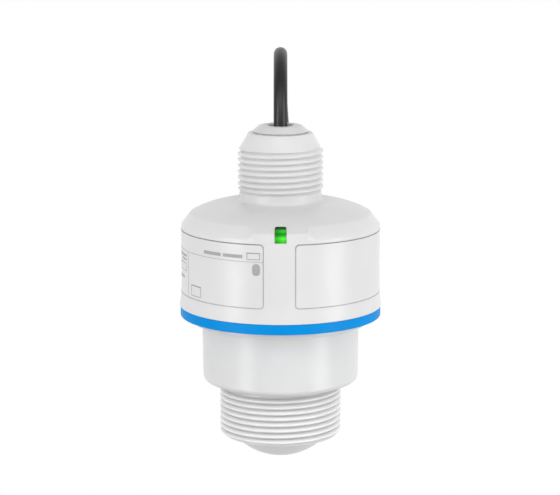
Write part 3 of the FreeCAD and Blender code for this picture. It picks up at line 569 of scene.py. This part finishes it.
def makeLightGuide():
    g = guide
    edge, half = housing["edge"] + g["proud"], g["half"] * mm
    middle = (g["front"] + g["back"]) / 2
    side = linePoints([
        (g["back"], g["floor"]), (g["front"], g["floor"]), (g["front"], edge),
        (middle, domeZ(middle, g["proud"])), (g["back"], domeZ(g["back"], g["proud"])),
    ], [(g["edgeRound"], 3, (1, 2))])
    bm = bmesh.new()
    verts = [bm.verts.new((-half, -r * mm, z * mm)) for r, z in side]
    edges = [bm.edges.new(pair) for pair in zip(verts, verts[1:] + verts[:1])]
    flat = bmesh.ops.contextual_create(bm, geom=edges)["faces"]
    made = bmesh.ops.extrude_face_region(bm, geom=flat)["geom"]
    bmesh.ops.translate(bm, verts=vertsIn(made), vec=(2 * half, 0, 0))
    roundEdges(bm, [e for e in bm.edges if abs(e.verts[0].co.x - e.verts[1].co.x) < 1e-7], g["sideRound"], 3)
    for count in range(1, g["slices"]):
        cutThrough(bm, (half * (2 * count / g["slices"] - 1) * g["flatShare"], 0, 0), (1, 0, 0))
    for v in bm.verts:
        v.co.y = -math.sqrt(v.co.y ** 2 - v.co.x ** 2)  # the window follows the round wall
    faceOutwards(bm)
    stemBack = g["back"] + g["stemInset"]
    width, depth = 2 * (g["half"] - g["stemInset"]), stemBack - g["stemFront"]
    place = Matrix.Translation((0, -(stemBack - depth / 2) * mm, (g["floor"] + g["stemHeight"] / 2) * mm))
    size = Matrix.Diagonal((width * mm, depth * mm, g["stemHeight"] * mm, 1))
    stem = bmesh.ops.create_cube(bm, size=1, matrix=place @ size)["verts"]
    roundEdges(bm, list({e for v in stem for e in v.link_edges}), g["stemRound"], 2)
    return finishPiece("lightGuide", bm)


lightGuide = makeLightGuide()
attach(lightGuide, "root")
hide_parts("light_guide")
print("light guide is made")


# pressure screw of the cable gland

gland = {
    "bore": 3.2, "bodyR": 10.4, "foot": 87.0, "headFoot": 97.7, "headR": 10.65, "headTop": 100.6, "mouthR": 5.2,
    "lip": 0.5, "lipTop": 0.85, "lipInset": 0.4, "lipLift": 0.02, "topR": 8.2, "mouthDrop": 0.7, "mouthInset": 0.5,
    "flareZ": 92.0, "steps": 96,
    "rounds": [(0.12, 2, (3, 4)), (0.45, 4, (5,)), (0.25, 3, (6,)), (1.5, 3, (8,)), (0.3, 2, (10,)), (0.15, 2, (9,))],
}


def makeGland():
    g = gland
    bm = bmesh.new()
    first, last = softLine(bm, [
        (g["bodyR"], (g["foot"] + g["headFoot"]) / 2), (g["bodyR"], g["headFoot"]),
        (g["headR"] - g["lipInset"], g["headFoot"] + g["lipLift"]), (g["headR"], g["headFoot"] + g["lip"]),
        (g["headR"], g["headFoot"] + g["lipTop"]), (g["topR"], g["headTop"]), (g["mouthR"], g["headTop"]),
        (g["mouthR"] - g["mouthInset"], g["headTop"] - g["mouthDrop"]), (g["bore"], g["flareZ"]),
        (g["bore"], g["foot"]), (g["bodyR"], g["foot"]),
    ], g["rounds"])
    bm.edges.new((last, first))
    spinAll(bm, g["steps"])
    return finishPiece("glandInsert", bm)


glandInsert = makeGland()
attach(glandInsert, "root")
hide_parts("gland_insert")
print("gland is made")


# thin frames of the two label fields, and plain shapes where print would stand

label = {
    "bottom": 35.85, "top": 60.5, "corner": 1.5, "line": 0.36, "thin": 0.2, "proud": 0.05, "sunk": 0.1,
    "right": (8.1, 128.0), "left": (-128.0, -9.3), "headerZ": 53.6, "divider": (-66.15, -65.85), "slice": 2.0,
}
labelFrames = [  # from and to round the wall in degrees, bottom, top, corner, line width
    (*label["right"], label["bottom"], label["top"], label["corner"], label["line"]),
    (*label["left"], label["bottom"], label["top"], label["corner"], label["line"]),
    (-19.2, -11.4, 54.5, 57.2, 0.3, 0.3), (-62.0, -51.5, 37.2, 41.4, 0.4, 0.3), (-82.0, -69.0, 45.6, 48.8, 0.3, 0.2),
]
labelBars = [  # from and to in degrees, bottom, top, corner
    (*label["left"], label["headerZ"], label["headerZ"] + label["thin"], 0.0),
    (*label["divider"], label["bottom"], label["headerZ"], 0.0),
    (-48.5, -35.5, 54.9, 56.2, 0.2), (-34.0, -21.5, 54.9, 56.2, 0.2), (-15.9, -11.4, 48.5, 53.0, 1.4),
    (-84.0, -68.5, 51.3, 52.2, 0.2), (-78.0, -68.5, 49.9, 50.6, 0.2), (-84.0, -73.0, 42.6, 43.5, 0.2),
]


def flatPatch(bm, fromAngle, toAngle, bottom, top, corner):
    left, right = (math.radians(a) * housing["r"] for a in (fromAngle, toAngle))
    place = Matrix.Translation(((left + right) / 2 * mm, 0, (bottom + top) / 2 * mm))
    size = Matrix.Diagonal(((right - left) * mm, 1, (top - bottom) * mm, 1))
    made = bmesh.ops.create_grid(bm, x_segments=1, y_segments=1, size=0.5,
                                 matrix=place @ size @ Matrix.Rotation(math.pi / 2, 4, "X"))["verts"]
    if corner:
        made = bmesh.ops.bevel(bm, geom=made, offset=corner * mm, offset_type="OFFSET", segments=5, profile=0.5,
                               affect="VERTICES", material=-1)["verts"]
    return made[0].link_faces[0]


def makeLabels():
    bm = bmesh.new()
    for fromAngle, toAngle, bottom, top, corner, line in labelFrames:
        field = flatPatch(bm, fromAngle, toAngle, bottom, top, corner)
        bmesh.ops.inset_region(bm, faces=[field], thickness=line * mm, depth=0, use_boundary=True)
        bmesh.ops.delete(bm, geom=[field], context="FACES_ONLY")
    for fromAngle, toAngle, bottom, top, corner in labelBars:
        flatPatch(bm, fromAngle, toAngle, bottom, top, corner)
    made = bmesh.ops.extrude_face_region(bm, geom=bm.faces[:])["geom"]
    bmesh.ops.translate(bm, verts=vertsIn(made), vec=(0, mm, 0))
    edge = math.radians(label["right"][1]) * housing["r"]
    for count in range(1, int(2 * edge / label["slice"])):
        cutThrough(bm, ((count * label["slice"] - edge) * mm, 0, 0), (1, 0, 0))
    cutThrough(bm, (0, 0, (housing["bottom"] + housing["flare"]) * mm), (0, 0, 1))
    wall = wallLine() + [(housing["chamferLow"], housing["r"])]
    for v in bm.verts:  # laid out flat so far: x is the way round the wall, y stands proud
        z = v.co.z / mm
        angle = math.degrees(v.co.x / mm / housing["r"])
        setPlace(v, between(wall, z) + (label["proud"] if v.co.y > 0 else -label["sunk"]), angle, z)
    faceOutwards(bm)
    print("open edges on the labels:", sum(1 for e in bm.edges if len(e.link_faces) != 2))
    return finishPiece("labelPrint", bm)


labelPrint = makeLabels()
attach(labelPrint, "root")
print("label frames are made:", len(labelPrint.data.polygons), "faces")


# finishes

def tone(red, green, blue):
    # screen values of 0 to 255 as Blender's colours
    def linear(c):
        return (c / 255 / 12.92) if c < 11 else ((c / 255 + 0.055) / 1.055) ** 2.4
    return linear(red), linear(green), linear(blue), 1


def grey(level):
    return tone(level, level, level)


def startFinish(name, rough, metallic=0.0, coat=0.0):
    made = bpy.data.materials.new(name)
    made.use_nodes = True
    tree = made.node_tree
    shader = tree.nodes["Principled BSDF"]
    shader.inputs["Roughness"].default_value = rough
    shader.inputs["Metallic"].default_value = metallic
    shader.inputs["Coat Weight"].default_value = coat
    return made, tree, shader


def spot(tree, kind="Object"):
    return tree.nodes.new("ShaderNodeTexCoord").outputs[kind]


def axes(tree, kind="Object"):
    split = tree.nodes.new("ShaderNodeSeparateXYZ")
    tree.links.new(spot(tree, kind), split.inputs["Vector"])
    return split.outputs


def pattern(tree, size, detail=2.0, stretch=(1, 1, 1)):
    # cloudy pattern with patches of about this many millimetres
    turn = tree.nodes.new("ShaderNodeMapping")
    turn.inputs["Scale"].default_value = stretch
    cloud = tree.nodes.new("ShaderNodeTexNoise")
    cloud.inputs["Scale"].default_value = 1 / (size * mm)
    cloud.inputs["Detail"].default_value = detail
    tree.links.new(spot(tree), turn.inputs["Vector"])
    tree.links.new(turn.outputs["Vector"], cloud.inputs["Vector"])
    return cloud.outputs["Fac"]


def ramp(tree, value, stops):
    made = tree.nodes.new("ShaderNodeValToRGB")
    while len(made.color_ramp.elements) < len(stops):
        made.color_ramp.elements.new(0.5)
    for element, (place, colour) in zip(made.color_ramp.elements, stops):
        element.position = place
        element.color = colour
    tree.links.new(value, made.inputs["Fac"])
    return made.outputs["Color"]


def mapped(tree, value, low, high, fromLow=0.3, fromHigh=0.7):
    made = tree.nodes.new("ShaderNodeMapRange")
    made.inputs["From Min"].default_value = fromLow
    made.inputs["From Max"].default_value = fromHigh
    made.inputs["To Min"].default_value = low
    made.inputs["To Max"].default_value = high
    tree.links.new(value, made.inputs["Value"])
    return made.outputs["Result"]


def combine(tree, kind, first, second):
    made = tree.nodes.new("ShaderNodeMath")
    made.operation = kind
    for socket, value in zip(made.inputs, (first, second)):
        if isinstance(value, (int, float)):
            socket.default_value = value
        else:
            tree.links.new(value, socket)
    return made.outputs["Value"]


def blended(tree, share, first, second, kind="MIX"):
    made = tree.nodes.new("ShaderNodeMix")
    made.data_type = "RGBA"
    made.blend_type = kind
    for socket, value in zip((made.inputs[0], made.inputs[6], made.inputs[7]), (share, first, second)):
        if isinstance(value, (int, float, tuple)):
            socket.default_value = value
        else:
            tree.links.new(value, socket)
    return made.outputs[2]


def pressed(tree, shader, height, depth):
    made = tree.nodes.new("ShaderNodeBump")
    made.inputs["Distance"].default_value = depth * mm
    tree.links.new(height, made.inputs["Height"])
    tree.links.new(made.outputs["Normal"], shader.inputs["Normal"])


# colour, its cloudier shade, patch size, roughness from and to, grain size and depth in millimetres
# thread: radius of its crests, from and to height, grey of the painted shade in its roots and of the painted
# highlight on its crests
finishes = {
    "bodyPlastic": {"colour": (212, 212, 212), "shade": (209, 209, 209), "patch": 14, "rough": (0.3, 0.37),
                    "grain": 0.35, "depth": 0.006, "thread": (23.9, -21.2, -2.2, 188, 228)},
    "housingPlastic": {"colour": (212, 212, 212), "shade": (209, 209, 209), "patch": 18, "rough": (0.3, 0.37),
                       "grain": 0.35, "depth": 0.006, "thread": (16.62, 76.0, 91.8, 200, 214)},
    "glandPlastic": {"colour": (206, 206, 206), "shade": (202, 202, 202), "patch": 8, "rough": (0.3, 0.38),
                     "grain": 0.3, "depth": 0.006},
    "ringBlue": {"colour": (0, 137, 213), "shade": (0, 132, 206), "patch": 9, "rough": (0.42, 0.5),
                 "grain": 0.3, "depth": 0.004, "gloss": 0.08},
    "labelGrey": {"colour": (164, 164, 164), "shade": (154, 154, 154), "patch": 3, "rough": (0.5, 0.6),
                  "grain": 0.2, "depth": 0.003},
    "sheathBlack": {"colour": (22, 22, 23), "shade": (17, 17, 18), "patch": 6, "rough": (0.34, 0.44),
                    "grain": 0.4, "depth": 0.012},
    "sealRubber": {"colour": (30, 30, 31), "shade": (24, 24, 25), "patch": 3, "rough": (0.65, 0.8),
                   "grain": 0.3, "depth": 0.012},
    "washerPlastic": {"colour": (232, 228, 214), "shade": (224, 218, 200), "patch": 4, "rough": (0.4, 0.5),
                      "grain": 0.3, "depth": 0.006},
    "carrierPlastic": {"colour": (42, 43, 45), "shade": (33, 34, 36), "patch": 7, "rough": (0.55, 0.68),
                       "grain": 0.4, "depth": 0.015},
    "terminalPlastic": {"colour": (64, 146, 82), "shade": (54, 130, 70), "patch": 4, "rough": (0.5, 0.6),
                        "grain": 0.3, "depth": 0.01},
    "chipBlack": {"colour": (40, 41, 43), "shade": (31, 32, 34), "patch": 1.5, "rough": (0.5, 0.65),
                  "grain": 0.12, "depth": 0.008},
    "ferriteGrey": {"colour": (66, 66, 70), "shade": (50, 50, 54), "patch": 1.2, "rough": (0.6, 0.75),
                    "grain": 0.2, "depth": 0.02},
    "ceramicWhite": {"colour": (236, 233, 224), "shade": (226, 221, 208), "patch": 1.5, "rough": (0.18, 0.3),
                     "grain": 0.2, "depth": 0.004},
    "socketPlastic": {"colour": (228, 221, 198), "shade": (216, 207, 180), "patch": 3, "rough": (0.45, 0.55),
                      "grain": 0.25, "depth": 0.008},
    "strapBlack": {"colour": (34, 34, 35), "shade": (26, 26, 27), "patch": 3, "rough": (0.5, 0.62),
                   "grain": 0.5, "depth": 0.02},
    "coreBlack": {"colour": (30, 30, 30), "shade": (24, 24, 24), "patch": 2, "rough": (0.4, 0.5),
                  "grain": 0.2, "depth": 0.004},
    "coreBlue": {"colour": (28, 72, 168), "shade": (22, 60, 148), "patch": 2, "rough": (0.35, 0.45),
                 "grain": 0.2, "depth": 0.004},
    "coreBrown": {"colour": (104, 64, 38), "shade": (90, 54, 31), "patch": 2, "rough": (0.35, 0.45),
                  "grain": 0.2, "depth": 0.004},
    "ledResin": {"colour": (150, 245, 140), "shade": (120, 230, 112), "patch": 1, "rough": (0.12, 0.2),
                 "grain": 0.2, "depth": 0.003},
    "screwSteel": {"colour": (206, 207, 210), "shade": (176, 178, 182), "patch": 1.2, "rough": (0.2, 0.36),
                   "grain": 0.15, "depth": 0.006, "metal": 1},
    "canAluminium": {"colour": (208, 210, 214), "shade": (188, 190, 195), "patch": 3, "rough": (0.28, 0.42),
                     "grain": 0.2, "depth": 0.006, "metal": 1, "stretch": (1, 12, 1)},
    "shieldTin": {"colour": (214, 214, 210), "shade": (190, 190, 188), "patch": 2.5, "rough": (0.25, 0.45),
                  "grain": 0.25, "depth": 0.008, "metal": 1},
    "hornCast": {"colour": (190, 191, 194), "shade": (168, 169, 173), "patch": 3, "rough": (0.36, 0.52),
                 "grain": 0.5, "depth": 0.02, "metal": 1},
    "ferruleTin": {"colour": (216, 215, 212), "shade": (194, 193, 190), "patch": 0.8, "rough": (0.22, 0.38),
                   "grain": 0.12, "depth": 0.006, "metal": 1},
}


def threadPaintedShade(tree, colour, crestR, lowZ, highZ, root, crestHighlight):
    # painted shade in the bottom of the thread's grooves and a painted highlight on its crests, unchanged away from
    # it
    middle, fade = grey(212), 0.6
    place = axes(tree)
    squares = [combine(tree, "MULTIPLY", place[axis], place[axis]) for axis in ("X", "Y")]
    radius = combine(tree, "SQRT", combine(tree, "ADD", *squares), 0)
    height = mapped(tree, radius, 0, 1, (crestR - thread["depth"]) * mm, crestR * mm)
    turned = ramp(tree, height, [(0.05, grey(root)), (0.5, middle), (0.85, grey(crestHighlight))])
    above = mapped(tree, place["Z"], 0, 1, lowZ * mm, (lowZ + fade) * mm)
    below = mapped(tree, place["Z"], 1, 0, (highZ - fade) * mm, highZ * mm)
    return blended(tree, combine(tree, "MULTIPLY", above, below), colour, turned)


def makeFinish(name):
    look = finishes[name]
    made, tree, shader = startFinish(name, look["rough"][0], look.get("metal", 0.0))
    stretch = look.get("stretch", (1, 1, 1))
    cloud = pattern(tree, look["patch"], 3.0, stretch)
    colour = ramp(tree, cloud, [(0.35, tone(*look["shade"])), (0.65, tone(*look["colour"]))])
    # the thread gets painted shade in its grooves and a painted highlight on its crests
    if "thread" in look:
        colour = threadPaintedShade(tree, colour, *look["thread"])
    tree.links.new(colour, shader.inputs["Base Color"])
    fine = pattern(tree, look["grain"], 2.0, stretch)
    tree.links.new(mapped(tree, fine, *look["rough"]), shader.inputs["Roughness"])
    pressed(tree, shader, fine, look["depth"])
    shader.inputs["Specular IOR Level"].default_value = look.get("gloss", 0.5)
    return made


def boardFinish():
    made, tree, shader = startFinish("boardGreen", 0.35, coat=0.25)
    tracks = tree.nodes.new("ShaderNodeTexBrick")
    tracks.inputs["Scale"].default_value = 260
    tracks.inputs["Mortar Size"].default_value = 0.06
    tracks.inputs["Color1"].default_value = tone(18, 92, 52)
    tracks.inputs["Color2"].default_value = tone(22, 100, 58)
    tracks.inputs["Mortar"].default_value = tone(44, 128, 80)
    tree.links.new(spot(tree), tracks.inputs["Vector"])
    shade = ramp(tree, pattern(tree, 3.0), [(0.3, grey(226)), (0.7, grey(255))])
    tree.links.new(blended(tree, 1.0, tracks.outputs["Color"], shade, "MULTIPLY"), shader.inputs["Base Color"])
    fine = pattern(tree, 0.25)
    tree.links.new(mapped(tree, fine, 0.28, 0.42), shader.inputs["Roughness"])
    pressed(tree, shader, combine(tree, "ADD", tracks.outputs["Fac"], fine), 0.01)
    return made


def ribbonFinish():
    made, tree, shader = startFinish("ribbonAmber", 0.3, coat=0.2)
    leads = tree.nodes.new("ShaderNodeTexWave")
    leads.inputs["Scale"].default_value = 250
    leads.inputs["Distortion"].default_value = 0.0
    tree.links.new(spot(tree), leads.inputs["Vector"])
    tree.links.new(ramp(tree, leads.outputs["Fac"], [(0.35, tone(176, 104, 26)), (0.6, tone(206, 138, 52))]),
                   shader.inputs["Base Color"])
    fine = pattern(tree, 0.3)
    tree.links.new(mapped(tree, fine, 0.24, 0.36), shader.inputs["Roughness"])
    pressed(tree, shader, combine(tree, "ADD", leads.outputs["Fac"], fine), 0.01)
    return made


guideLook = {"from": 60.5, "to": 66.6, "half": 2.35, "glow": 0.5, "gloss": 0.25}


def guideFinish():
    # glows with the LED's light from inside; the bright middle of each face and the lighter side are painted
    # highlight, the dark fold and the dark back are painted shade
    made, tree, shader = startFinish("guideGreen", 0.12, coat=0.25)
    place = axes(tree)
    # painted highlight in the middle of each face, painted shade at the fold and at the back
    glow = ramp(tree, mapped(tree, place["Z"], 0, 1, guideLook["from"] * mm, guideLook["to"] * mm), [
        (0.0, tone(30, 116, 14)), (0.13, tone(32, 172, 18)), (0.40, tone(74, 222, 46)), (0.57, tone(22, 152, 8)),
        (0.66, tone(0, 104, 0)), (0.74, tone(16, 170, 8)), (0.84, tone(24, 176, 14)), (0.92, tone(0, 60, 0)),
        (1.0, tone(0, 44, 0)),
    ])
    # painted highlight right of the middle, painted shade towards both sides
    paintedSideLight = ramp(tree, mapped(tree, place["X"], 0, 1, -guideLook["half"] * mm, guideLook["half"] * mm), [
        (0.0, tone(120, 170, 120)), (0.2, tone(140, 190, 140)), (0.45, tone(200, 225, 200)),
        (0.72, grey(255)), (0.9, tone(220, 235, 220)), (1.0, tone(130, 160, 130)),
    ])
    cloud = pattern(tree, 0.7)
    shade = ramp(tree, cloud, [(0.3, grey(236)), (0.7, grey(255))])
    colour = blended(tree, 1.0, blended(tree, 1.0, glow, paintedSideLight, "MULTIPLY"), shade, "MULTIPLY")
    tree.links.new(colour, shader.inputs["Base Color"])
    tree.links.new(colour, shader.inputs["Emission Color"])
    shader.inputs["Emission Strength"].default_value = guideLook["glow"]
    shader.inputs["Specular IOR Level"].default_value = guideLook["gloss"]
    tree.links.new(mapped(tree, cloud, 0.08, 0.18), shader.inputs["Roughness"])
    pressed(tree, shader, cloud, 0.004)
    return made


dressed = {
    "bodyPlastic": [sensorBody], "housingPlastic": [upperHousing], "glandPlastic": [glandInsert],
    "ringBlue": [accentRing], "labelGrey": [labelPrint], "sheathBlack": [sensorCable, "cable_inner_end"],
    "sealRubber": ["housing_oring", "cable_seal"], "washerPlastic": ["thrust_washer"],
    "carrierPlastic": ["electronics_carrier", "cable_retainer"], "screwSteel": ["carrier_screws", "terminal_screws"],
    "terminalPlastic": ["terminal_block"], "canAluminium": ["buffer_capacitors"], "ferriteGrey": ["power_inductor"],
    "chipBlack": ["processor_chip", "radar_chip"], "shieldTin": ["radio_module", "shield_can"],
    "ceramicWhite": ["chip_antenna"], "ledResin": ["status_led"], "hornCast": ["antenna_horn"],
    "socketPlastic": ["board_sockets"], "strapBlack": ["coil_ties"],
    "coreBlack": ["inner_core_screen", "tail_core_screen"], "coreBlue": ["inner_core_minus", "tail_core_minus"],
    "coreBrown": ["inner_core_plus", "tail_core_plus"], "ferruleTin": ["tail_ferrules"],
}


def dress(finish, pieces):
    for piece in pieces:
        if isinstance(piece, str):
            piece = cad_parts[piece]
        if piece.material_slots:
            for place in piece.material_slots:
                place.material = finish
        else:
            piece.data.materials.append(finish)


for name, pieces in dressed.items():
    dress(makeFinish(name), pieces)
dress(boardFinish(), ["main_board", "radar_board"])
dress(ribbonFinish(), ["ribbon_lead"])
dress(guideFinish(), [lightGuide])
print("finishes are on")


# plain surroundings and soft light

stage = {  # the bowl in metres; the sky's strength above, level with and below the part, behind and to its left
    "floorZ": -1.2, "radius": 9.0, "wall": 12.0, "white": 1.0,
    "skyTop": 0.46, "skyLevel": 0.54, "skyBelow": 0.43, "behind": 0.55, "leftDrop": -0.12,
    "rise": (-0.6, 0.1), "fade": (0.2, 0.8), "back": (0.2, 0.95), "left": (-0.9, -0.2),
}
softBoxes = [  # name, place, what it is aimed at, width, height, power
    ("leftBox", (-0.89, -0.68, 0.02), (0, 0, 0.0), 0.4, 1.9, 10.9),
    ("rightBox", (1.0, -0.5, 0.02), (0, 0, 0.0), 0.45, 1.9, 11.3),
    ("topBox", (0.0, -0.85, 0.9), (0, 0, 0.05), 0.9, 0.6, 3.2),
]


def makeStage():
    bm = bmesh.new()
    bmesh.ops.create_circle(bm, cap_ends=True, segments=96, radius=stage["radius"])
    bmesh.ops.translate(bm, verts=bm.verts, vec=(0, 0, stage["floorZ"]))
    wall = bmesh.ops.extrude_edge_only(bm, edges=bm.edges[:])["geom"]
    bmesh.ops.translate(bm, verts=vertsIn(wall), vec=(0, 0, stage["wall"]))
    piece = finishPiece("paleFloor", bm)
    made = bpy.data.materials.new("paleFloor")
    made.use_nodes = True
    tree = made.node_tree
    tree.nodes.clear()
    glow = tree.nodes.new("ShaderNodeEmission")
    glow.inputs["Strength"].default_value = stage["white"]
    out = tree.nodes.new("ShaderNodeOutputMaterial")
    tree.links.new(glow.outputs["Emission"], out.inputs["Surface"])
    piece.data.materials.append(made)
    piece.visible_diffuse = False
    piece.visible_glossy = False
    piece.visible_shadow = False
    return piece


paleFloor = makeStage()

for name, place, aim, width, height, power in softBoxes:
    box = bpy.data.lights.new(name, "AREA")
    box.shape = "RECTANGLE"
    box.size, box.size_y = width, height
    box.energy = power
    lamp = bpy.data.objects.new(name, box)
    lamp.location = place
    lamp.rotation_euler = (Vector(aim) - Vector(place)).to_track_quat("-Z", "Y").to_euler()
    scene.collection.objects.link(lamp)

sky = bpy.data.worlds.new("paleSky")
sky.use_nodes = True
skyTree = sky.node_tree
skyTree.nodes["Background"].inputs["Color"].default_value = (1, 1, 1, 1)
skyWay = axes(skyTree, "Generated")
rising = mapped(skyTree, skyWay["Z"], stage["skyBelow"], stage["skyLevel"], *stage["rise"])
fading = mapped(skyTree, skyWay["Z"], 0.0, stage["skyTop"] - stage["skyLevel"], *stage["fade"])
behind = mapped(skyTree, skyWay["Y"], 0.0, stage["behind"], *stage["back"])  # the white wall at the back
leftSide = mapped(skyTree, skyWay["X"], stage["leftDrop"], 0.0, *stage["left"])
around = combine(skyTree, "ADD", behind, leftSide)
skyTree.links.new(combine(skyTree, "ADD", combine(skyTree, "ADD", rising, fading), around),
                  skyTree.nodes["Background"].inputs["Strength"])
scene.world = sky
scene.view_settings.view_transform = "Standard"
print("light is set")

print("done")
